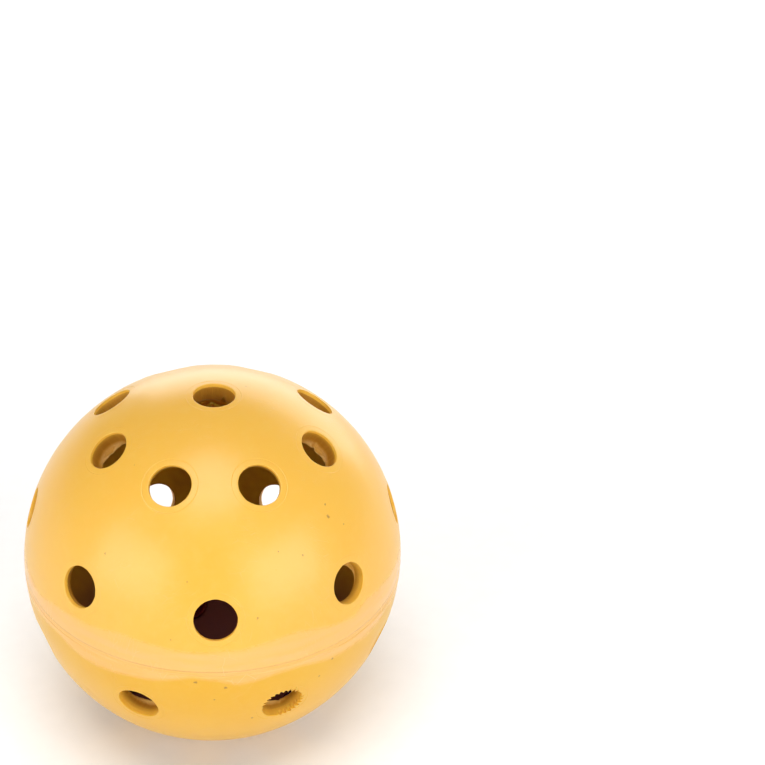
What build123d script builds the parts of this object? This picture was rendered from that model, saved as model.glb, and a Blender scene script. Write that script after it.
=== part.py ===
"""Pickleball: two drilled plastic half shells joined by a fused weld at the equator.

Millimetres. The origin is the centre of the ball. +Z runs along the moulding axis, through the two pole
holes, and the weld lies in the plane Z = 0. A hole of the upper half's low ring is centred on the -Y side.
"""

import os
from math import sqrt

from build123d import *

# the hollow ball
BALL_DIAMETER = 74.0
WALL = 1.75

# the drilled holes: in each half one at the pole, then a high ring and a low ring
HOLE_DIAMETER = 8.0
HOLES_PER_RING = 8
HIGH_RING_LATITUDE = 54.7
LOW_RING_LATITUDE = 17.5
RIM_ROUND = 0.25

# the high ring of the upper half is staggered half a pitch from its low ring; the lower half's high ring
# is turned further, so that it lies nearly in step with its low ring
PITCH = 360 / HOLES_PER_RING
UPPER_STAGGER = PITCH / 2
LOWER_STAGGER = PITCH - 5.4

# the halves were welded a little short of half a pitch apart
WELD_TURN_ERROR = 1.6
LOWER_HALF_TURN = PITCH / 2 - WELD_TURN_ERROR

# the weld: a web between the two rims, a low ridge outside and a double roll of flash inside
WEB_HEIGHT = 0.8
RIDGE_PROUD = 0.15
FLASH_ROLL_RADIUS = 0.6
FLASH_ROLL_SPACING = 0.9
FLASH_ROLL_DEPTH = 0.1

# how far a cutting tool runs past what it cuts
OVERRUN = 2.0

OUTER_RADIUS = BALL_DIAMETER / 2
INNER_RADIUS = OUTER_RADIUS - WALL
HOLE_RADIUS = HOLE_DIAMETER / 2


def hole_cutter():
    """A drill along +Z from the ball's centre, flared at the outer end to leave a rounded rim."""
    round_x = HOLE_RADIUS + RIM_ROUND
    round_z = sqrt((OUTER_RADIUS - RIM_ROUND) ** 2 - round_x**2)
    centre = Vector(round_x, 0, round_z)
    outward = centre.normalized()
    on_wall = centre - Vector(RIM_ROUND, 0, 0)
    on_ball = centre + outward * RIM_ROUND
    between = centre + (outward - Vector(1, 0, 0)).normalized() * RIM_ROUND
    past_ball = on_ball + outward * OVERRUN
    start_z = INNER_RADIUS / 2
    flare = ThreePointArc(on_wall, between, on_ball)
    sides = Polyline(
        on_ball,
        past_ball,
        (0, 0, past_ball.Z),
        (0, 0, start_z),
        (HOLE_RADIUS, 0, start_z),
        on_wall,
    )
    return revolve(make_face([flare, sides]), Axis.Z)


def hole_tilts(stagger):
    """The tilt from +Z and the turn about Z of each hole in a half shell, by its high ring's stagger."""
    tilts = [(0.0, 0.0)]
    for number in range(HOLES_PER_RING):
        tilts.append((90 - HIGH_RING_LATITUDE, number * PITCH + stagger))
        tilts.append((90 - LOW_RING_LATITUDE, number * PITCH))
    return tilts


def half_shell(stagger):
    """The upper half of the hollow ball, down to the weld, with its holes drilled towards the centre."""
    ball = Sphere(OUTER_RADIUS) - Sphere(INNER_RADIUS)
    side = 2 * (OUTER_RADIUS + OVERRUN)
    above_weld = Pos(0, 0, WEB_HEIGHT / 2) * Box(
        side, side, side, align=(Align.CENTER, Align.CENTER, Align.MIN)
    )
    shell = ball & above_weld
    cutter = hole_cutter()
    for tilt, turn in hole_tilts(stagger):
        shell -= Rot(Z=turn) * Rot(Y=tilt) * cutter
    return shell


def weld_web():
    """The ring of fused plastic between the two rims, bulging to a low ridge on the outside."""
    half = WEB_HEIGHT / 2
    rim_outer = sqrt(OUTER_RADIUS**2 - half**2)
    rim_inner = sqrt(INNER_RADIUS**2 - half**2)
    ridge = ThreePointArc(
        (rim_outer, 0, half), (OUTER_RADIUS + RIDGE_PROUD, 0, 0), (rim_outer, 0, -half)
    )
    sides = Polyline(
        (rim_outer, 0, -half), (rim_inner, 0, -half), (rim_inner, 0, half), (rim_outer, 0, half)
    )
    return revolve(make_face([ridge, sides]), Axis.Z)


def flash_rolls():
    """The two rolls of flash that the weld squeezed out along the inside of the wall."""
    rolls = []
    for side in (-1, 1):
        height = side * FLASH_ROLL_SPACING / 2
        wall_there = sqrt(INNER_RADIUS**2 - height**2)
        section = Plane.XZ * Pos(wall_there - FLASH_ROLL_DEPTH, height) * Circle(FLASH_ROLL_RADIUS)
        rolls.append(revolve(section, Axis.Z))
    return (rolls[0] + rolls[1]) & Sphere(INNER_RADIUS)


def build():
    """Each piece of the ball by the name of its node."""
    upper = half_shell(UPPER_STAGGER)
    lower = Rot(Z=LOWER_HALF_TURN) * mirror(half_shell(LOWER_STAGGER), Plane.XY)
    seam = weld_web() + flash_rolls()
    return {"upper_half_shell": upper, "lower_half_shell": lower, "weld_seam": seam}


os.makedirs("parts", exist_ok=True)
for node, piece in build().items():
    export_step(piece, f"parts/{node}.step")
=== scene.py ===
"""Pickleball: the looks of the ball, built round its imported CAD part.

The mesh code works in millimetres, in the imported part's frame, and each mesh is scaled to metres when it
is made. Angles in tables are in degrees.
"""

import math

import bpy
import numpy as np
from mathutils import Matrix, Vector
from mathutils.geometry import delaunay_2d_cdt


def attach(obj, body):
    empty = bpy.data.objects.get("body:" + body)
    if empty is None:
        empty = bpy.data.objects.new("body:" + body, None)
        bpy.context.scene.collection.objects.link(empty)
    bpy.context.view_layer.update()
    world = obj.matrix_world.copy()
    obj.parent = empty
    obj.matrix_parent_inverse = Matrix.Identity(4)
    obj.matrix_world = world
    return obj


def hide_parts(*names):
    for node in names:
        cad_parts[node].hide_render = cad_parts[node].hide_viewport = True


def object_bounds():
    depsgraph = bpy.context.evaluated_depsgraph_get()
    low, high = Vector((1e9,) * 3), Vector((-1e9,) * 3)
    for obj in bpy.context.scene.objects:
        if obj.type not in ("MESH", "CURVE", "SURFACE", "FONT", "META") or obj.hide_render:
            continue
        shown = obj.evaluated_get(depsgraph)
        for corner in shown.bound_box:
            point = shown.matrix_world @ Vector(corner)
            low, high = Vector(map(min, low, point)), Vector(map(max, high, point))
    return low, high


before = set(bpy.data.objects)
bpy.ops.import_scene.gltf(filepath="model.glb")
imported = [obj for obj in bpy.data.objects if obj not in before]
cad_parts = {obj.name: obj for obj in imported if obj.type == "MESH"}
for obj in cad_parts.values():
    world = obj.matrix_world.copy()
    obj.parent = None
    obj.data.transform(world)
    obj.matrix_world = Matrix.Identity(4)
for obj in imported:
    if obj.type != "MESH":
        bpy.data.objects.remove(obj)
cad_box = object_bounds()

MM = 0.001
TURN = 2 * math.pi

# the ball, as in the CAD part
OUTER = 37.0
WALL = 1.75
INNER = OUTER - WALL
HOLE = 4.0
RIM = 0.25
WEB = 0.4
PER_RING = 8
PITCH = 360 / PER_RING
HIGH_RING = 54.7
LOW_RING = 17.5
LOWER_TURN = 20.9
# by half: latitude and stagger of its two rings of holes
RINGS = {
    1: ((HIGH_RING, PITCH / 2), (LOW_RING, 0.0)),
    -1: ((HIGH_RING, PITCH - 5.4), (LOW_RING, 0.0)),
}

# how finely the meshes are divided: points round a hole and round the weld, gaps between the free points
SEGMENTS = 72
EQUATOR = 464
FINE = 0.5
COARSE = 0.95
FINE_HEIGHT = 7.5

# rows of a hole's mesh: radii on the outer skin, the number on the rim, depths down the wall, shares of
# the burr's height, the same and a share of its thickness on its back, and radii on the inner skin
COLLAR = 5.7
SKIN_ROWS = (COLLAR, 5.5, 5.4, 5.34, 5.28, 5.22, 5.16, 5.1, 5.03, 4.9, 4.65, 4.42)
RIM_ROWS = 6
WALL_ROWS = (0.18, 0.36, 0.5, 0.56, 0.64, 0.8, 1.0, 1.2, 1.36)
BURR_ROWS = (0.25, 0.5, 0.65, 0.78, 0.9, 1.0)
BURR_BACK_ROWS = ((1.0, 0.45), (0.8, 0.6), (0.6, 0.8), (0.35, 0.95), (0.15, 1.1))
INNER_ROWS = (4.6, 4.8, 5.05, COLLAR * INNER / OUTER)

# the ring that the drill's stop pressed into the skin, the burr it pushed through, and a torn hole's teeth
HALO = 5.2
HALO_GROOVE = 0.045
HALO_RIDGE = 0.03
BURR_THICKNESS = 0.24
BURR_LEAST = 0.04
BURR_MOST = 2.5
LIP_SPREAD = 0.9
TEETH = 27
TOOTH_SEGMENTS = 8
TOOTH_DEPTH = 0.85
TOOTH_RISE = 0.65


def smooth(low, high, x):
    """0 at low, 1 at high, and a smooth step between; low may be above high."""
    t = np.clip((np.asarray(x, float) - low) / (high - low), 0, 1)
    return t * t * (3 - 2 * t)


def bell(x, width):
    return np.exp(-((np.asarray(x, float) / width) ** 2))


def wave(seed, orders):
    """A smooth closed curve through one turn: a function of the angle, within -1 to 1."""
    draw = np.random.default_rng(seed)
    orders = np.array(orders)
    phases = draw.uniform(0, TURN, len(orders))
    shares = draw.uniform(0.5, 1.0, len(orders))
    shares /= shares.sum()
    return lambda angle: np.cos(np.multiply.outer(angle, orders) + phases) @ shares


def swell(seed, length, count=14):
    """A smooth random field in space, within about -1 to 1, whose bumps are about length apart."""
    draw = np.random.default_rng(seed)
    ways = draw.normal(size=(count, 3))
    ways /= np.linalg.norm(ways, axis=1)[:, None]
    ways *= (TURN / length * draw.uniform(0.7, 1.5, count))[:, None]
    phases = draw.uniform(0, TURN, count)
    return lambda p: np.cos(p @ ways.T + phases).sum(axis=-1) / math.sqrt(count * 2)


def turned_by(angle, at):
    """The angle past at, within half a turn to either side."""
    return (angle - at + math.pi) % TURN - math.pi


# ---------------------------------------------------------------- the smeared band along the weld

# azimuth, height of the upper edge, height of the lower edge
BAND = (
    (-180, 3.6, -2.6),
    (-158, 2.9, -1.8),
    (-150, 3.4, -1.6),
    (-143, 4.5, -1.6),
    (-133, 5.0, -3.2),
    (-126, 5.3, -3.8),
    (-119, 5.9, -3.3),
    (-107, 5.4, -2.6),
    (-96, 4.7, -0.9),
    (-90, 4.8, -1.5),
    (-83, 5.1, -2.8),
    (-75, 6.1, -1.8),
    (-65, 6.6, -1.2),
    (-55, 5.2, -2.7),
    (-45, 4.2, -2.9),
    (-39, 5.7, -3.1),
    (-26, 5.3, -1.3),
    (-8, 4.2, -2.7),
    (14, 5.6, -1.9),
    (31, 4.4, -3.4),
    (52, 5.9, -2.2),
    (71, 4.9, -3.7),
    (88, 3.9, -2.4),
    (109, 5.7, -3.3),
    (127, 4.6, -1.6),
    (148, 5.9, -3.0),
    (165, 4.5, -2.1),
    (180, 3.6, -2.6),
)
BAND_RIPPLE = 0.25
BAND_EDGE = 0.6
TONGUE_HEIGHTS = (3.6, 2.3, 1.1, -0.9, -1.9)
band_ripple = (wave(11, (9, 14, 23, 37)), wave(12, (8, 15, 26, 41)))
tongue_waves = [wave(20 + n, (2, 3, 5, 9, 16)) for n in range(6)]


def azimuth_of(p):
    return np.arctan2(p[..., 1], p[..., 0])


def smear(p):
    """How much the weld's heat and trimming smeared the skin at a point: 0 off the band, 1 in it."""
    angle = azimuth_of(p)
    degrees = np.degrees(angle)
    table = np.array(BAND, float)
    top = np.interp(degrees, table[:, 0], table[:, 1]) + BAND_RIPPLE * band_ripple[0](angle)
    low = np.interp(degrees, table[:, 0], table[:, 2]) + BAND_RIPPLE * band_ripple[1](angle)
    height = p[..., 2]
    return smooth(-BAND_EDGE, BAND_EDGE, top - height) * smooth(-BAND_EDGE, BAND_EDGE, height - low)


def streaks(p):
    """The overlapping tongues inside the smeared band, 0 to 1."""
    angle = azimuth_of(p)
    height = p[..., 2]
    total = np.zeros(height.shape)
    for n, centre in enumerate(TONGUE_HEIGHTS):
        line = centre + 1.3 * tongue_waves[n](angle)
        half = 0.55 + 0.35 * tongue_waves[(n + 2) % len(tongue_waves)](angle + 1.0)
        total = total + smooth(-0.45, 0.35, half - np.abs(height - line))
    return np.clip(total * 0.6, 0, 1)


skin_swell = swell(31, 27.0)
skin_ripple = swell(32, 9.0)
inner_swell = swell(33, 11.0)
inner_ripple = swell(34, 3.2)


def settle(points):
    """Moves points of the shells off the true spheres, as moulding, welding and trimming left them."""
    radius = np.linalg.norm(points, axis=-1)
    way = points / radius[..., None]
    on_sphere = way * OUTER
    outside = smooth(INNER, OUTER, radius)
    band = smear(on_sphere)
    outer = -0.03 - 0.02 * skin_swell(on_sphere) - 0.003 * skin_ripple(on_sphere)
    outer = outer + 0.035 * band + 0.008 * band * streaks(on_sphere)
    inner = 0.05 * inner_swell(on_sphere) + 0.02 * inner_ripple(on_sphere)
    return points + way * (outer * outside + inner * (1 - outside))[..., None]


# ---------------------------------------------------------------- the drilled holes


def height_at(ball, r):
    """Height of a ball's surface over its centre, at the distance r from the axis."""
    return np.sqrt(ball**2 - r**2)


class Hole:
    """One drilled hole of a half shell, with its own small faults.

    tilt is from the half's pole. burr is the height of the burr inside, and curl how much it bends
    outwards. lip is how far the burr is curled in round lip_at. mouth is how deep the painted glow of
    the mouth reaches, and flare how much wider the wall gets inwards. jagged tears the rim.
    """

    def __init__(
        self,
        half,
        tilt,
        azimuth,
        seed,
        burr,
        mouth=0.7,
        flare=0.0,
        curl=0.14,
        lip=0.0,
        lip_at=90.0,
        jagged=False,
    ):
        t = math.radians(tilt)
        a = math.radians(azimuth)
        self.axis = np.array(
            [math.sin(t) * math.cos(a), math.sin(t) * math.sin(a), half * math.cos(t)]
        )
        up = np.array([0, 0, 1.0]) - self.axis[2] * self.axis
        if np.linalg.norm(up) < 1e-6:
            up = np.array([0, 1.0, 0])
        self.up = up / np.linalg.norm(up)
        self.right = np.cross(self.up, self.axis)
        self.seed = seed
        self.burr = burr
        self.mouth = mouth
        self.flare = flare
        self.curl = curl
        self.lip = lip
        self.jagged = jagged

        segments = TEETH * TOOTH_SEGMENTS if jagged else SEGMENTS
        self.angle = np.arange(segments) * TURN / segments
        draw = np.random.default_rng(seed)
        self.growth = draw.uniform(-0.05, 0.06) + 0.035 * self.wave(1, (2, 3))
        self.fault = 0.02 * self.wave(2, (5, 8, 13, 17))
        self.halo_shift = draw.uniform(0.03, 0.12) * np.cos(self.angle - draw.uniform(0, TURN))
        self.halo_shift = self.halo_shift + draw.uniform(5.1, 5.28) - HALO
        self.score = 0.014 * self.wave(3, (19, 26, 33))
        self.nick = self.nicks()
        torn_edge = self.torn_edge()
        self.tooth = self.teeth() * torn_edge
        self.rim = RIM * (0.55 - 0.15 * torn_edge)
        self.bore = HOLE + self.growth
        self.shoulder = np.sqrt((OUTER - self.rim) ** 2 - (HOLE + self.rim) ** 2) - 0.012
        self.burr_height = self.burr_heights()
        self.lip_share = bell(turned_by(self.angle, math.radians(lip_at)), LIP_SPREAD)

    def wave(self, number, orders):
        return wave(self.seed + number, orders)(self.angle)

    def burr_heights(self):
        tall = 0.2 * self.wave(5, (1, 2, 3))
        ragged = 0.06 * self.wave(6, (7, 12, 19))
        broken = smooth(-0.62, -0.3, self.wave(7, (2, 3, 5, 8)) + self.burr * 0.12)
        height = self.burr * (1 + tall + ragged) * (0.35 + 0.65 * broken)
        return np.clip(height, BURR_LEAST, BURR_MOST)

    def torn_edge(self):
        """Where the rim was torn by a blunt drill, 0 to 1: above and on the right."""
        if not self.jagged:
            return 0 * self.angle
        degrees = np.degrees(self.angle)
        above = smooth(30, 50, degrees) * smooth(180, 160, degrees)
        right = smooth(258, 282, degrees) + smooth(28, 5, degrees) * (degrees < 60)
        return np.clip(above + right, 0, 1)

    def teeth(self):
        """The saw-toothed outline that the chattering drill left."""
        phase = (self.angle * TEETH / TURN) % 1.0
        saw = np.where(phase < TOOTH_RISE, phase / TOOTH_RISE, (1 - phase) / (1 - TOOTH_RISE))
        uneven = 1 + 0.35 * self.wave(8, (4, 7, 11))
        return TOOTH_DEPTH * (saw - 0.35) * uneven

    def nicks(self):
        draw = np.random.default_rng(self.seed + 9)
        total = 0 * self.angle
        for _ in range(3):
            gap = turned_by(self.angle, draw.uniform(0, TURN))
            total = total + draw.uniform(0.02, 0.1) * bell(gap, draw.uniform(0.05, 0.1))
        return total

    def grid(self):
        """Rows of points: the outer skin round the hole, its rim, wall and burr, then the inner skin."""
        rows = [*self.skin_rows(), *self.rim_rows(), *self.wall_rows(), *self.burr_rows()]
        self.tip_row = len(rows) - 1
        rows += [*self.burr_back_rows(), *self.inner_rows()]
        self.row_count = len(rows)
        radius = np.array([r for r, _ in rows])[..., None]
        height = np.array([h for _, h in rows])[..., None]
        ring = np.cos(self.angle)[:, None] * self.right + np.sin(self.angle)[:, None] * self.up
        return radius * ring + height * self.axis

    def skin_rows(self):
        """The outer skin, with the faint ring that the drill's stop pressed into it."""
        strength = 0.75 + 0.4 * self.wave(4, (1, 2, 3))
        for r in SKIN_ROWS:
            near_halo = smooth(COLLAR, 5.45, r) * smooth(4.6, 4.95, r)
            grown = r + self.halo_shift * near_halo + self.growth * smooth(5.0, 4.4, r)
            grown = grown + np.maximum(self.tooth, 0) * smooth(4.9, 4.4, r)
            off = r - HALO
            press = HALO_RIDGE * bell(off - 0.14, 0.06) - HALO_GROOVE * bell(off, 0.07)
            press = press - 0.012 * smooth(HALO, 5.0, r)
            yield grown, height_at(OUTER, grown) + press * strength

    def rim_rows(self):
        centre = self.bore + self.rim + self.fault
        first = math.asin((HOLE + RIM) / (OUTER - RIM))
        for share in np.linspace(0, 1, RIM_ROWS):
            lean = first - share * (first + math.pi / 2)
            cut = self.tooth * (0.75 + 0.25 * share) + self.nick * 0.6
            yield (
                centre + self.rim * math.sin(lean) + cut,
                self.shoulder + self.rim * math.cos(lean),
            )

    def wall_rows(self):
        """The wall: a slightly wider mouth, a small step, then the bore with its scoring."""
        for depth in WALL_ROWS:
            step_in = -0.03 * smooth(0.45, 0.75, depth)
            torn = self.tooth * smooth(0.95, 0.1, depth) + self.nick * smooth(0.9, 0.1, depth)
            ring = 0.005 * math.sin(depth * 9.0 + self.seed)
            wide = self.flare * smooth(0.55, WALL, depth)
            worn = self.bore + self.fault * 0.6 + step_in + torn + self.score + ring + wide
            yield worn, self.shoulder - depth

    def burr_foot(self, share):
        """Radius of the burr's face at a share of its height, as curled out and, round the lip, in."""
        ragged = 1 + 0.05 * self.wave(10, (4, 7, 11))
        lip = self.lip * self.lip_share * ragged * smooth(0.5, 1.0, share)
        curl = self.curl * (self.burr_height * share) ** 2
        return self.bore - 0.06 + self.flare + curl - lip

    def burr_rows(self):
        """The burr that the drill pushed through, thin, torn and curled."""
        for share in BURR_ROWS:
            height = height_at(INNER, HOLE) - self.burr_height * share
            yield self.burr_foot(share) + self.score, height

    def burr_back_rows(self):
        tip = height_at(INNER, HOLE) - self.burr_height
        yield self.burr_foot(1.0) + 0.06, tip - 0.05
        for share, thick in BURR_BACK_ROWS:
            back = self.burr_foot(share) + BURR_THICKNESS * thick
            yield back, height_at(INNER, back) - self.burr_height * share * 0.97

    def inner_rows(self):
        for r in INNER_ROWS:
            yield r + 0 * self.angle, height_at(INNER, r) + 0 * self.angle

    def marks(self):
        """What the material reads at each point of the grid: burr tip or lip, with a painted highlight,
        how deep the mouth's painted glow reaches, and the drilled face.
        """
        past_tip = np.arange(self.row_count).repeat(len(self.angle)) - self.tip_row
        on_tip = np.isin(past_tip, (0, 1)).astype(float)
        # the lip's share of the painted highlight, strongest round lip_at
        lip_highlight = smooth(-3.6, -1.0, past_tip) * (past_tip <= 0)
        lip_highlight = lip_highlight * np.tile(self.lip_share, self.row_count) * min(self.lip, 1.0) * 0.85
        return {
            "tip": np.maximum(on_tip, lip_highlight),
            "mouth": np.full(len(past_tip), self.mouth),
            "bore": smooth(6.0, 4.0, past_tip),
        }


def ring_holes(half, turn, first_seed, known):
    """The 17 holes of a half. known holds what is known of single holes, by ring and number."""
    holes = [Hole(half, 0.0, 0.0, first_seed, **known.get("pole", {"burr": 0.8}))]
    for ring, (latitude, stagger) in enumerate(RINGS[half]):
        for number in range(PER_RING):
            azimuth = number * PITCH + stagger + turn
            seed = first_seed + 20 + 200 * ring + 20 * number
            draw = np.random.default_rng(seed + 13)
            usual = {"burr": 0.3 + 0.5 * draw.random(), "mouth": 0.35 + 0.4 * draw.random()}
            usual.update(known.get((ring, number), {}))
            holes.append(Hole(half, 90 - latitude, azimuth, seed, **usual))
    return holes


# ---------------------------------------------------------------- the half shells

ROW_GAP = 0.88
JITTER_ALONG = 0.12
JITTER_ACROSS = 0.08


def lattice(half, holes, seed):
    """Points of a unit sphere, spread over the half between the holes and closer near the weld."""
    draw = np.random.default_rng(seed)
    axes = np.array([h.axis for h in holes])
    reach = math.asin(COLLAR / OUTER)
    latitude = math.asin(WEB / OUTER)
    found = []
    turn = 0.0
    while True:
        height = OUTER * math.sin(latitude)
        widening = float(smooth(FINE_HEIGHT - 1, FINE_HEIGHT + 4, height))
        gap = FINE + (COARSE - FINE) * widening
        latitude += gap * ROW_GAP / OUTER
        if latitude >= math.pi / 2:
            break
        count = max(6, round(TURN * OUTER * math.cos(latitude) / gap))
        turn += 0.5
        along = draw.uniform(-JITTER_ALONG, JITTER_ALONG, count)
        angle = (np.arange(count) + turn + along) * TURN / count
        tilt = latitude + draw.uniform(-JITTER_ACROSS, JITTER_ACROSS, count) * gap / OUTER
        p = np.stack(
            [np.cos(tilt) * np.cos(angle), np.cos(tilt) * np.sin(angle), half * np.sin(tilt)], -1
        )
        nearest = np.arccos(np.clip(p @ axes.T, -1, 1)).min(axis=1)
        found.append(p[nearest > reach + 0.5 * gap / OUTER])
    return np.concatenate(found)


def equator_loop(half, ball):
    angle = np.arange(EQUATOR) * TURN / EQUATOR
    flat = math.sqrt(ball**2 - WEB**2)
    return np.stack([flat * np.cos(angle), flat * np.sin(angle), 0 * angle + half * WEB], -1)


def band_quads(first, second):
    """Faces between two rows of points, given by their numbers."""
    return np.stack([first, np.roll(first, -1, -1), np.roll(second, -1, -1), second], -1)


def skin_triangles(half, points, loops, free):
    """Triangles that fill the outer skin between the loops, as indices into all its points."""
    used = np.concatenate([*loops, free])
    owner = [np.full(len(loop), n) for n, loop in enumerate(loops)]
    owner = np.concatenate([*owner, np.full(len(free), -1)])
    unit = points[used] / np.linalg.norm(points[used], axis=1)[:, None]
    flat = unit[:, :2] / (1 + half * unit[:, 2])[:, None]
    edges = []
    place = 0
    for loop in loops:
        count = len(loop)
        edges.extend((place + n, place + (n + 1) % count) for n in range(count))
        place += count
    found = delaunay_2d_cdt([Vector(xy) for xy in flat], edges, [], 0, 1e-7)
    origin = np.array([o[0] for o in found[3]])
    triangles = origin[np.array(found[2])]
    owners = owner[triangles]
    inside_hole = (owners[:, 0] == owners[:, 1]) & (owners[:, 1] == owners[:, 2])
    inside_hole &= (owners[:, 0] >= 0) & (owners[:, 0] < len(loops) - 1)
    triangles = triangles[~inside_hole]
    corners = points[used][triangles]
    normal = np.cross(corners[:, 1] - corners[:, 0], corners[:, 2] - corners[:, 0])
    inward = (normal * corners[:, 0]).sum(axis=1) < 0
    triangles[inward] = triangles[inward][:, ::-1]
    return triangles


def half_shell(half, holes, seed):
    """Points, faces and marks of one closed half shell."""
    grids = [hole.grid() for hole in holes]
    sizes = [grid.shape[0] * grid.shape[1] for grid in grids]
    starts = np.cumsum([0, *sizes])
    numbers = [
        start + np.arange(size).reshape(grid.shape[:2])
        for start, size, grid in zip(starts, sizes, grids)
    ]
    drilled = starts[-1]
    spread = lattice(half, holes, seed)
    outer_free = drilled + 2 * EQUATOR + np.arange(len(spread))
    inner_free = outer_free + len(spread)
    outer_rim = drilled + np.arange(EQUATOR)
    inner_rim = outer_rim + EQUATOR
    outer_loops = [*(number[0] for number in numbers), outer_rim]
    inner_loops = [*(number[-1] for number in numbers), inner_rim]
    blocks = [grid.reshape(-1, 3) for grid in grids]
    blocks += [equator_loop(half, OUTER), equator_loop(half, INNER)]
    blocks += [spread * OUTER, spread * INNER]
    points = np.concatenate(blocks)

    triangles = skin_triangles(half, points, outer_loops, outer_free)
    outer_faces = np.concatenate([*outer_loops, outer_free])[triangles]
    inner_faces = np.concatenate([*inner_loops, inner_free])[triangles][:, ::-1]
    hole_faces = [band_quads(number[:-1], number[1:]).reshape(-1, 4) for number in numbers]
    web_faces = band_quads(inner_rim, outer_rim)
    if half < 0:
        web_faces = web_faces[:, ::-1]
    faces = [*outer_faces, *inner_faces, *np.concatenate([*hole_faces, web_faces])]

    off_holes = {"tip": 0.0, "mouth": 0.5, "bore": 0.0}
    by_hole = [hole.marks() for hole in holes]
    marks = {}
    for label, value in off_holes.items():
        rest = np.full(len(points) - drilled, value)
        marks[label] = np.concatenate([*(found[label] for found in by_hole), rest])
    return settle(points), faces, marks


# ---------------------------------------------------------------- the weld

# rows of the weld's mesh: shares of the half web on the bead, shares of the wall on the web
BEAD_ROWS = (1.0, 0.8, 0.62, 0.45, 0.3, 0.15, 0.0, -0.15, -0.3, -0.45, -0.62, -0.8, -1.0)
WEB_ROWS = (0.35, 0.7)
FLASH_ROWS = 9
# the double roll of flash inside: how far its centres are off the seam, its size, how far it sinks in
FLASH_OFF = 0.45
FLASH_SIZE = 0.56
FLASH_SUNK = 0.09
# the lowest and highest lean of the lower roll's rows, in half turns; the upper roll's are mirrored
FLASH_FROM = -0.42
FLASH_TO = 0.36


def weld_ring():
    """Points and faces of the weld: its outer bead, the web between the rims and the flash inside."""
    angle = np.arange(EQUATOR) * TURN / EQUATOR
    column = []
    marks = []

    def add(radius, height, mark=0.0):
        marks.append(mark + 0 * angle)
        ring = np.stack([np.cos(angle), np.sin(angle)], -1) * np.reshape(radius, (-1, 1))
        column.append(np.concatenate([ring, np.reshape(height + 0 * angle, (-1, 1))], -1))

    def edge(half, ball):
        p = settle(equator_loop(half, ball))
        return np.linalg.norm(p[:, :2], axis=1), p[:, 2]

    top_out, top_out_z = edge(1, OUTER)
    low_out, low_out_z = edge(-1, OUTER)
    top_in, top_in_z = edge(1, INNER)
    low_in, low_in_z = edge(-1, INNER)
    proud = 0.016 + 0.012 * wave(51, (2, 5, 9, 17))(angle) + 0.003 * wave(52, (31, 47, 70))(angle)
    line = 0.09 * wave(53, (3, 7, 12))(angle)
    groove = 0.003 + 0.003 * wave(54, (4, 11, 21))(angle)
    clear = 0.2 + 0.15 * wave(59, (2, 3, 7))(angle)
    for share in BEAD_ROWS:
        mixed = (1 + share) / 2
        base = top_out * mixed + low_out * (1 - mixed)
        height = top_out_z * mixed + low_out_z * (1 - mixed)
        off = WEB * share - line
        hold = 1 - smooth(0.75, 1.0, abs(share))
        bead = proud * bell(off, 0.17) - groove * (bell(off - 0.3, 0.09) + bell(off + 0.3, 0.09))
        add(np.minimum(base + bead * hold, OUTER + 0.14), height, clear * bell(off, 0.19))
    for mixed in WEB_ROWS:
        add(low_out * (1 - mixed) + low_in * mixed, low_out_z)
    add(low_in, low_in_z)
    for half, seed, orders in ((-1, 55, (2, 5, 9, 14)), (1, 57, (3, 4, 8, 13))):
        fine = (23, 37, 61) if half < 0 else (21, 39, 58)
        size = FLASH_SIZE + 0.1 * wave(seed, orders)(angle) + 0.05 * wave(seed + 1, fine)(angle)
        ends = (FLASH_FROM, FLASH_TO) if half < 0 else (-FLASH_TO, -FLASH_FROM)
        for lean in np.linspace(*ends, FLASH_ROWS) * math.pi:
            inward = size * math.cos(lean) + 0.1
            height = half * FLASH_OFF + size * math.sin(lean)
            skin = np.sqrt(INNER**2 - height**2) - FLASH_SUNK
            add(skin - np.maximum(inward, 0.0), height)
    add(top_in, top_in_z)
    for mixed in WEB_ROWS[::-1]:
        add(top_out * (1 - mixed) + top_in * mixed, top_out_z)
    rows = np.array(column)
    count = len(rows)
    number = np.arange(count * EQUATOR).reshape(count, EQUATOR)
    after = np.roll(number, -1, 0)
    faces = np.stack([number, after, np.roll(after, -1, 1), np.roll(number, -1, 1)], -1)
    return rows.reshape(-1, 3), [*faces.reshape(-1, 4)], {"line": np.concatenate(marks)}


# ---------------------------------------------------------------- pieces

WEB_MARGIN = 0.3


def piece(name, points, faces, material, extra):
    """An object from points and faces. Its flat faces between the rims are shaded flat."""
    mesh = bpy.data.meshes.new(name)
    mesh.from_pydata((points * MM).tolist(), [], [f.tolist() for f in faces])
    mesh.update()
    height = np.abs(points[:, 2])
    radius = np.linalg.norm(points, axis=1)
    at_web = height < WEB + 0.02
    in_wall = (radius < OUTER - WEB_MARGIN, radius > INNER + WEB_MARGIN)
    flat = [at_web[f].all() and in_wall[0][f].any() and in_wall[1][f].any() for f in faces]
    mesh.polygons.foreach_set("use_smooth", ~np.array(flat))
    for label, values in extra.items():
        layer = mesh.attributes.new(label, "FLOAT", "POINT")
        layer.data.foreach_set("value", values.astype(np.float32))
    mesh.materials.append(material)
    made = bpy.data.objects.new(name, mesh)
    bpy.context.scene.collection.objects.link(made)
    return made


# ---------------------------------------------------------------- materials


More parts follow.
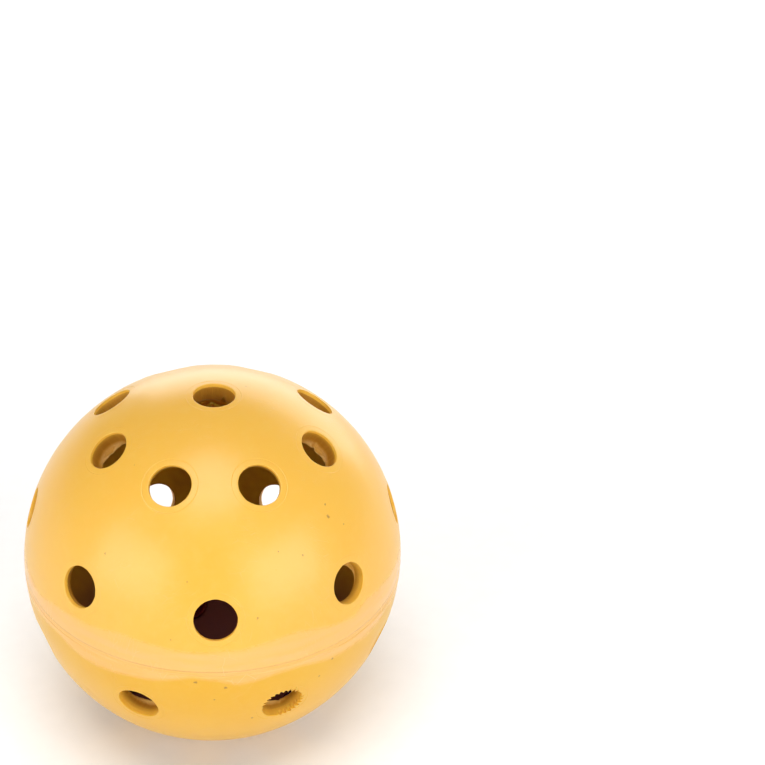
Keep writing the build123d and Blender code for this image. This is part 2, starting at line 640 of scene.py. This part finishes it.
class Nodes:
    """Short calls for building a material's node tree."""

    def __init__(self, name):
        self.material = bpy.data.materials.new(name)
        self.material.use_nodes = True
        self.tree = self.material.node_tree
        self.tree.nodes.clear()

    def add(self, kind, **settings):
        node = self.tree.nodes.new(kind)
        for key, value in settings.items():
            setattr(node, key, value)
        return node

    def feed(self, socket, value):
        if isinstance(value, bpy.types.NodeSocket):
            self.tree.links.new(value, socket)
        elif value is not None:
            socket.default_value = value

    def math(self, operation, *values, clamp=False):
        node = self.add("ShaderNodeMath", operation=operation, use_clamp=clamp)
        for socket, value in zip(node.inputs, values):
            self.feed(socket, value)
        return node.outputs[0]

    def times(self, first, second, clamp=False):
        return self.math("MULTIPLY", first, second, clamp=clamp)

    def plus(self, first, second, clamp=False):
        return self.math("ADD", first, second, clamp=clamp)

    def minus(self, first, second):
        return self.math("SUBTRACT", first, second)

    def vector(self, operation, *values, scale=None):
        node = self.add("ShaderNodeVectorMath", operation=operation)
        for socket, value in zip(node.inputs, values):
            self.feed(socket, value)
        if scale is not None:
            node.inputs["Scale"].default_value = scale
        return node.outputs["Value" if operation in ("LENGTH", "DISTANCE") else "Vector"]

    def step(self, value, low, high):
        """0 at low, 1 at high, smooth between; low may be above high."""
        node = self.add("ShaderNodeMapRange", interpolation_type="SMOOTHSTEP")
        self.feed(node.inputs["Value"], value)
        ends = (low, high, 0.0, 1.0) if low <= high else (high, low, 1.0, 0.0)
        for key, end in zip(("From Min", "From Max", "To Min", "To Max"), ends):
            node.inputs[key].default_value = end
        return node.outputs["Result"]

    def noise(self, where, scale, detail=2.0, rough=0.5, bend=0.0):
        node = self.add("ShaderNodeTexNoise")
        self.feed(node.inputs["Vector"], where)
        settings = {"Scale": scale, "Detail": detail, "Roughness": rough, "Distortion": bend}
        for key, value in settings.items():
            node.inputs[key].default_value = value
        return node.outputs["Fac"]

    def cells(self, where, scale, feature="F1"):
        node = self.add("ShaderNodeTexVoronoi", feature=feature)
        self.feed(node.inputs["Vector"], where)
        node.inputs["Scale"].default_value = scale
        return node

    def mix(self, share, first, second):
        node = self.add("ShaderNodeMix", data_type="RGBA")
        self.feed(node.inputs["Factor"], share)
        for socket, value in ((node.inputs[6], first), (node.inputs[7], second)):
            if isinstance(value, tuple):
                value = (*value, 1.0)
            self.feed(socket, value)
        return node.outputs[2]

    def attribute(self, name):
        return self.add("ShaderNodeAttribute", attribute_name=name).outputs["Fac"]

    def bump(self, height, strength, distance, below=None):
        """Relief from a height; distance in millimetres."""
        node = self.add("ShaderNodeBump")
        self.feed(node.inputs["Height"], height)
        node.inputs["Strength"].default_value = strength
        node.inputs["Distance"].default_value = distance * MM
        self.feed(node.inputs["Normal"], below)
        return node.outputs["Normal"]

    def finish(self, shader):
        output = self.add("ShaderNodeOutputMaterial")
        self.feed(output.inputs["Surface"], shader.outputs["BSDF"])
        return self.material


# tones of the plastic: main, warm patches, pale mottling
UPPER_TONES = ((0.785, 0.443, 0.064), (0.775, 0.424, 0.053), (0.79, 0.462, 0.084))
# the lower half's tones are darker: painted shade for the lesser light that reaches it from below
LOWER_SHADED_TONES = ((0.71, 0.395, 0.038), (0.70, 0.378, 0.030), (0.72, 0.412, 0.054))
SMEAR = (0.81, 0.452, 0.145)
LINE = (0.78, 0.335, 0.06)
CHALK = (0.86, 0.62, 0.34)
DIRT = (0.20, 0.10, 0.045)
# painted glow of the holes' mouths, where light would soak through the thin rim
PAINTED_GLOW = (0.92, 0.52, 0.06)
WALL_TONE = (0.84, 0.45, 0.045)
# brown: painted shade deep in the drilled walls; inside, the darker rings
DEEP = (0.46, 0.195, 0.008)
INSIDE = (0.74, 0.41, 0.008)
# painted highlight on the burr tips and lips
PAINTED_TIP_HIGHLIGHT = (0.80, 0.50, 0.16)
# painted shade inside the lower half, and a near-black painted shade on its holes' walls and burrs
LOW_INSIDE_SHADE = (0.18, 0.062, 0.057)
LOW_HOLE_SHADE = (0.02, 0.003, 0.008)

# heights between which the painted shade inside the lower half thickens
SHADE_FROM = -12.0
SHADE_TO = -26.0

# the families of scratches: turn, scale, stretch
SCRATCHES = (
    ((0.4, 0.9, 0.2), 0.14, 11.0),
    ((1.9, 0.3, 1.1), 0.19, 14.0),
    ((0.8, 2.2, 0.6), 0.12, 9.0),
)

# dark specks on the skin: place, size
SPECKS = (
    ((20.8, -20.1, 23.0), 0.42),
    ((20.3, -18.6, 24.7), 0.22),
    ((-19.9, -24.9, 18.8), 0.26),
    ((-3.7, -36.8, -2.0), 0.40),
    ((1.8, -36.8, -3.4), 0.38),
    ((6.9, -33.7, -13.7), 0.32),
    ((7.6, -34.5, 11.0), 0.24),
    ((11.4, -28.1, 21.2), 0.18),
    ((15.9, -27.1, 19.6), 0.24),
    ((-14.6, -14.2, 30.9), 0.2),
    ((6.1, 3.7, 36.3), 0.2),
    ((-5.1, -32.1, 17.7), 0.18),
    ((23.8, -19.3, 20.7), 0.16),
    ((-0.2, -36.4, -6.6), 0.2),
    ((21.8, -29.7, -2.9), 0.3),
    ((19.4, -30.9, -6.1), 0.26),
    ((14.0, 27.0, 21.0), 0.3),
    ((-27.0, 18.0, 17.5), 0.24),
    ((30.0, 14.0, -16.0), 0.34),
    ((-24.0, -22.0, -17.5), 0.24),
)


def skin_colour(n, spot, mottle, tones):
    """The moulded skin: large warm patches and a fine pale mottling."""
    clouds = n.noise(spot, 0.045, 3.0, 0.55, 0.6)
    colour = n.mix(n.step(clouds, 0.36, 0.66), tones[0], tones[1])
    return n.mix(n.times(n.step(mottle, 0.42, 0.75), 0.35), colour, tones[2])


def band_share(n, place):
    """How strongly the smeared band shows, with its tongues and a flowing swirl."""
    swirl = n.noise(n.vector("MULTIPLY", place, (1.0, 1.0, 3.2)), 0.28, 5.0, 0.6, 0.8)
    tongues = n.plus(0.62, n.times(n.attribute("streak"), 0.38))
    band = n.times(n.attribute("smear"), tongues)
    return n.times(band, n.plus(0.72, n.times(swirl, 0.5)), clamp=True)


def scratch_share(n, spot):
    """Fine light scratches: thin lines, in patches, where long, turned cells meet."""
    scratch = None
    for number, (turn, scale, stretch) in enumerate(SCRATCHES):
        rotate = n.add("ShaderNodeMapping", vector_type="POINT")
        n.feed(rotate.inputs["Vector"], n.vector("ADD", spot, (number * 31.0, 7.0, 3.0)))
        rotate.inputs["Rotation"].default_value = turn
        rotate.inputs["Scale"].default_value = (1.0, stretch, 1.0)
        line = n.cells(rotate.outputs["Vector"], scale, "DISTANCE_TO_EDGE").outputs["Distance"]
        patch = n.noise(n.vector("ADD", spot, (0, number * 17.0, 5.0)), 0.11, 2.0)
        line = n.times(n.step(line, 0.016, 0.002), n.step(patch, 0.56, 0.7))
        scratch = line if scratch is None else n.math("MAXIMUM", scratch, line)
    return scratch


def speck_share(n, place, spot):
    """The set specks of dirt, with ragged outlines."""
    wobble = n.times(n.minus(n.noise(spot, 3.1, 3.0), 0.5), 0.55)
    speck = None
    for where, size in SPECKS:
        gap = n.plus(n.vector("DISTANCE", place, where), wobble)
        dot = n.step(gap, size * 1.15, size * 0.35)
        speck = dot if speck is None else n.math("MAXIMUM", speck, dot)
    return speck


def dot_share(n, spot):
    """A sparse scatter of tiny dots."""
    dots = n.cells(spot, 0.33)
    dot = n.step(dots.outputs["Distance"], 0.07, 0.035)
    chosen = n.step(n.times(dots.outputs["Color"], 1.0), 0.83, 0.86)
    return n.times(n.times(dot, chosen), 0.45)


def wall_colour(n, colour, depth, score):
    """The drilled wall: a painted glow in the mouth where light would soak through, then ochre and a
    brown painted shade deeper in.
    """
    colour = n.mix(n.step(depth, 0.1, 0.3), colour, PAINTED_GLOW)
    edge = n.plus(depth, n.times(n.minus(score, 0.5), 0.25))
    mouth = n.attribute("mouth")
    into = n.plus(edge, n.times(mouth, 2.6))
    # deeper in, the wall turns to a brown painted shade
    wall = n.mix(n.step(into, 1.0, 3.0), WALL_TONE, DEEP)
    wall = n.mix(n.times(n.step(score, 0.45, 0.72), 0.12), wall, PAINTED_GLOW)
    drilled = n.times(n.step(n.minus(edge, mouth), -0.05, 0.07), n.step(depth, 0.07, 0.2))
    return n.mix(drilled, colour, wall)


def inside_colour(n, colour, place, depth, low_shade):
    """The dull inner skin, a painted highlight on the burr tips, and painted shade deep in the lower
    half, darkest on its holes' walls and burrs.
    """
    bore = n.attribute("bore")
    rings = n.noise(place, 0.25, 2.0)
    dull = n.mix(n.times(n.step(rings, 0.35, 0.7), 0.25), INSIDE, DEEP)
    within = n.times(n.step(depth, 1.6, 1.8), n.minus(1.0, bore))
    colour = n.mix(within, colour, dull)
    # painted highlight on the burr tips and lips
    colour = n.mix(n.times(n.attribute("tip"), 0.6), colour, PAINTED_TIP_HIGHLIGHT)
    # painted shade low inside the lower half, near-black on the holes' walls and burrs
    colour = n.mix(low_shade, colour, LOW_INSIDE_SHADE)
    return n.mix(n.times(low_shade, bore), colour, LOW_HOLE_SHADE)


def relief(n, spot, depth, scratch, speck, score):
    """Bump: moulding peel and grain, scratches, specks, and the scoring of the drilled walls."""
    normal = n.bump(n.noise(spot, 1.5, 3.0, 0.5), 0.07, 0.12)
    normal = n.bump(n.noise(spot, 7.0, 3.0, 0.6), 0.1, 0.04, normal)
    normal = n.bump(n.minus(1.0, scratch), 0.35, 0.03, normal)
    normal = n.bump(n.minus(1.0, speck), 0.4, 0.06, normal)
    return n.bump(n.times(score, n.step(depth, 0.2, 0.5)), 0.35, 0.1, normal)


def plastic(name, tones, gloss, sheen, seed):
    """The ball's satin, slightly translucent plastic, from its skin to its drilled walls and inside."""
    n = Nodes(name)
    place = n.vector("SCALE", n.add("ShaderNodeTexCoord").outputs["Object"], scale=1 / MM)
    spot = n.vector("ADD", place, (seed * 13.7, seed * 5.1, seed * 9.3))
    way = n.vector("SCALE", n.vector("NORMALIZE", place), scale=OUTER)
    depth = n.minus(OUTER, n.vector("LENGTH", place))
    split = n.add("ShaderNodeSeparateXYZ")
    n.feed(split.inputs[0], place)
    level = split.outputs["Z"]
    mottle = n.noise(spot, 0.55, 4.0, 0.62)
    band = band_share(n, place)
    scratch = scratch_share(n, spot)
    speck = speck_share(n, place, spot)
    score = n.noise(way, 2.6, 3.0, 0.6)
    # where the painted shade lies: past the inner skin's depth, low in the lower half
    low_shade = n.times(n.step(depth, 1.45, 1.62), n.step(level, SHADE_FROM, SHADE_TO))

    colour = skin_colour(n, spot, mottle, tones)
    colour = n.mix(band, colour, SMEAR)
    colour = n.mix(n.attribute("line"), colour, LINE)
    colour = n.mix(n.times(scratch, 0.13), colour, CHALK)
    colour = n.mix(n.math("MAXIMUM", n.times(speck, 0.62), dot_share(n, spot)), colour, DIRT)
    colour = wall_colour(n, colour, depth, score)
    colour = inside_colour(n, colour, place, depth, low_shade)

    rough = n.plus(gloss, n.times(n.minus(mottle, 0.5), 0.1))
    rough = n.minus(rough, n.times(band, 0.1))
    rough = n.plus(rough, n.times(scratch, 0.12))
    rough = n.plus(rough, n.times(n.step(depth, 0.3, 0.9), 0.3), clamp=True)
    # the light soaks in except by the seam, where the pieces' faces meet
    off_seam = n.step(n.math("ABSOLUTE", level), WEB, WEB + 1.8)

    shader = n.add("ShaderNodeBsdfPrincipled")
    n.feed(shader.inputs["Base Color"], colour)
    n.feed(shader.inputs["Roughness"], rough)
    shader.inputs["IOR"].default_value = 1.5
    # the painted shade also loses its gloss
    low_shade_gloss_cut = n.times(low_shade, 0.97)
    n.feed(shader.inputs["Specular IOR Level"], n.times(n.minus(1.0, low_shade_gloss_cut), sheen))
    n.feed(shader.inputs["Subsurface Weight"], n.times(off_seam, 0.14))
    shader.inputs["Subsurface Radius"].default_value = (1.0, 0.42, 0.1)
    shader.inputs["Subsurface Scale"].default_value = 0.9 * MM
    n.feed(shader.inputs["Normal"], relief(n, spot, depth, scratch, speck, score))
    return n.finish(shader)


def floor_paper():
    n = Nodes("floor_paper")
    place = n.add("ShaderNodeTexCoord").outputs["Object"]
    fibre = n.noise(place, 180.0, 4.0, 0.6)
    tone = n.mix(n.step(fibre, 0.3, 0.7), (0.93, 0.93, 0.93), (0.95, 0.95, 0.95))
    shader = n.add("ShaderNodeBsdfPrincipled")
    n.feed(shader.inputs["Base Color"], tone)
    shader.inputs["Roughness"].default_value = 0.9
    shader.inputs["Specular IOR Level"].default_value = 0.2
    return n.finish(shader)


# ---------------------------------------------------------------- build the ball

# what is known of single holes, by ring (0 high, 1 low) and number
UPPER_KNOWN = {
    "pole": {"burr": 2.1, "mouth": 0.72, "curl": 0.03},
    (0, 4): {"burr": 1.7, "mouth": 0.6, "curl": 0.02, "lip": 1.3, "lip_at": 188.0},
    (0, 7): {"burr": 1.7, "mouth": 0.6, "curl": 0.02, "lip": 1.3, "lip_at": 352.0},
    (0, 5): {"burr": 0.1, "mouth": 0.62, "flare": 0.3},
    (0, 6): {"burr": 0.1, "mouth": 0.62, "flare": 0.3},
    (1, 2): {"burr": 1.3, "mouth": 0.3, "lip": 3.0, "lip_at": 90.0},
    (1, 5): {"burr": 0.06, "mouth": 0.85, "flare": 0.35},
    (1, 6): {"burr": 0.1, "mouth": 0.4, "flare": 0.6},
    (1, 7): {"burr": 0.5, "mouth": 0.16, "lip": 0.9, "lip_at": 50.0},
}
LOWER_KNOWN = {
    (0, 1): {"burr": 1.0, "mouth": 0.3, "lip": 3.2, "lip_at": 208.0},
    (0, 3): {"burr": 1.0, "mouth": 0.3, "lip": 3.2, "lip_at": 321.0},
    (1, 1): {"burr": 0.12, "mouth": 0.3},
    (1, 2): {"burr": 0.12, "mouth": 0.3},
    (1, 5): {"burr": 1.3, "mouth": 0.22, "lip": 0.9, "lip_at": 285.0},
    (1, 6): {"burr": 1.35, "mouth": 0.0, "lip": 0.9, "lip_at": 245.0, "jagged": True},
}

looks = {
    "upper_half_shell": plastic("upper_plastic", UPPER_TONES, gloss=0.3, sheen=0.45, seed=1),
    "lower_half_shell": plastic("lower_plastic", LOWER_SHADED_TONES, gloss=0.32, sheen=0.3, seed=2),
    "weld_seam": plastic("weld_plastic", UPPER_TONES, gloss=0.31, sheen=0.4, seed=1),
}
meshes = {
    "upper_half_shell": half_shell(1, ring_holes(1, 0.0, 1000, UPPER_KNOWN), 61),
    "lower_half_shell": half_shell(-1, ring_holes(-1, LOWER_TURN, 5000, LOWER_KNOWN), 62),
    "weld_seam": weld_ring(),
}
for node, (points, faces, marks) in meshes.items():
    radius = np.linalg.norm(points, axis=1)
    on_sphere = points / radius[:, None] * OUTER
    on_skin = smooth(OUTER - 0.6, OUTER - 0.3, radius)
    none = np.zeros(len(points))
    extra = {"smear": smear(on_sphere) * on_skin, "streak": streaks(on_sphere)}
    extra.update({"line": none, "tip": none, "mouth": none + 0.5, "bore": none})
    extra.update(marks)
    made = piece("ball_" + node, points, faces, looks[node], extra)
    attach(made, "root")
    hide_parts(node)

# ---------------------------------------------------------------- floor

# half the floor's side, in metres
FLOOR = 3.0

mesh = bpy.data.meshes.new("floor")
corners = [(-FLOOR, -FLOOR, 0), (FLOOR, -FLOOR, 0), (FLOOR, FLOOR, 0), (-FLOOR, FLOOR, 0)]
mesh.from_pydata(corners, [], [(0, 1, 2, 3)])
mesh.materials.append(floor_paper())
floor = bpy.data.objects.new("floor", mesh)
floor.location = (0, 0, cad_box[0].z)
bpy.context.scene.collection.objects.link(floor)

# ---------------------------------------------------------------- light

CAMERA_AZIMUTH = -90.45
CAMERA_ELEVATION = 37.45

# the backdrop's strength: sine of the height where it starts and stops to fade, strength below and above
BACKDROP = {"From Min": 0.03, "From Max": 0.2, "To Min": 0.65, "To Max": 0.24}

# name, azimuth from the camera's to its right, elevation, then metres: distance, width, height; then watts
SOFTBOXES = (
    ("softbox_left", -51.0, 18.0, 0.9, 0.75, 0.5, 4.0),
    ("softbox_right", 44.0, 18.0, 0.9, 0.75, 0.5, 4.3),
    ("backdrop_light", 165.0, 12.0, 1.2, 1.6, 0.85, 12.0),
)
OVERHEAD_WAY = (-10.0, 78.0)
OVERHEAD_SPREAD = 40.0
OVERHEAD_STRENGTH = 1.58


def direction(azimuth, elevation):
    """The way from the ball, with the azimuth counted from the camera's, to its right."""
    a = math.radians(CAMERA_AZIMUTH + azimuth)
    e = math.radians(elevation)
    return Vector((math.cos(e) * math.cos(a), math.cos(e) * math.sin(a), math.sin(e)))


def hang(light, way, distance):
    """Puts a light on the way from the ball, turned to it."""
    lamp = bpy.data.objects.new(light.name, light)
    lamp.location = way * distance
    lamp.rotation_mode = "QUATERNION"
    lamp.rotation_quaternion = way.to_track_quat("Z", "Y")
    bpy.context.scene.collection.objects.link(lamp)


for name, azimuth, elevation, distance, width, height, power in SOFTBOXES:
    light = bpy.data.lights.new(name, "AREA")
    light.shape = "RECTANGLE"
    light.size = width
    light.size_y = height
    light.energy = power
    hang(light, direction(azimuth, elevation), distance)

overhead = bpy.data.lights.new("softbox_above", "SUN")
overhead.angle = math.radians(OVERHEAD_SPREAD)
overhead.energy = OVERHEAD_STRENGTH
hang(overhead, direction(*OVERHEAD_WAY), 0.0)

world = bpy.data.worlds.new("studio")
world.use_nodes = True
tree = world.node_tree
where = tree.nodes.new("ShaderNodeTexCoord")
split = tree.nodes.new("ShaderNodeSeparateXYZ")
fade = tree.nodes.new("ShaderNodeMapRange")
fade.interpolation_type = "SMOOTHSTEP"
for key, value in BACKDROP.items():
    fade.inputs[key].default_value = value
background = tree.nodes["Background"]
background.inputs["Color"].default_value = (1.0, 1.0, 1.0, 1.0)
tree.links.new(where.outputs["Generated"], split.inputs[0])
tree.links.new(split.outputs["Z"], fade.inputs["Value"])
tree.links.new(fade.outputs["Result"], background.inputs["Strength"])
bpy.context.scene.world = world

# ---------------------------------------------------------------- camera

CAMERA_DISTANCE = 10.5 * OUTER * MM
SENSOR = 36.0
LENS = 91.53
# slopes, to the right and up, at which the camera sees the ball's centre
BALL_SEEN = (-0.08663, -0.08658)


def camera_matrix():
    """The camera's place and turn: the ball sits off the frame's centre, with its pole axis upright."""
    out = direction(0.0, CAMERA_ELEVATION)
    to_ball = -out
    up = (Vector((0, 0, 1)) - to_ball * to_ball.z).normalized()
    sideways = to_ball.cross(up)
    seen = Vector((*BALL_SEEN, -1)).normalized()
    seen_up = seen.cross(Vector((-seen.z, 0, seen.x))).normalized()
    if seen_up.y < 0:
        seen_up = -seen_up
    seen_sideways = seen.cross(seen_up)
    world_basis = Matrix((to_ball, up, sideways)).transposed()
    camera_basis = Matrix((seen, seen_up, seen_sideways)).transposed()
    turn = world_basis @ camera_basis.transposed()
    return Matrix.Translation(out * CAMERA_DISTANCE) @ turn.to_4x4()


lens = bpy.data.cameras.new("camera")
lens.sensor_width = SENSOR
lens.lens = LENS
lens.clip_start = 0.01
lens.clip_end = 20.0
camera = bpy.data.objects.new("camera", lens)
camera.matrix_world = camera_matrix()
bpy.context.scene.collection.objects.link(camera)
bpy.context.scene.camera = camera

bpy.context.scene.view_settings.view_transform = "Standard"
bpy.context.scene.view_settings.look = "None"
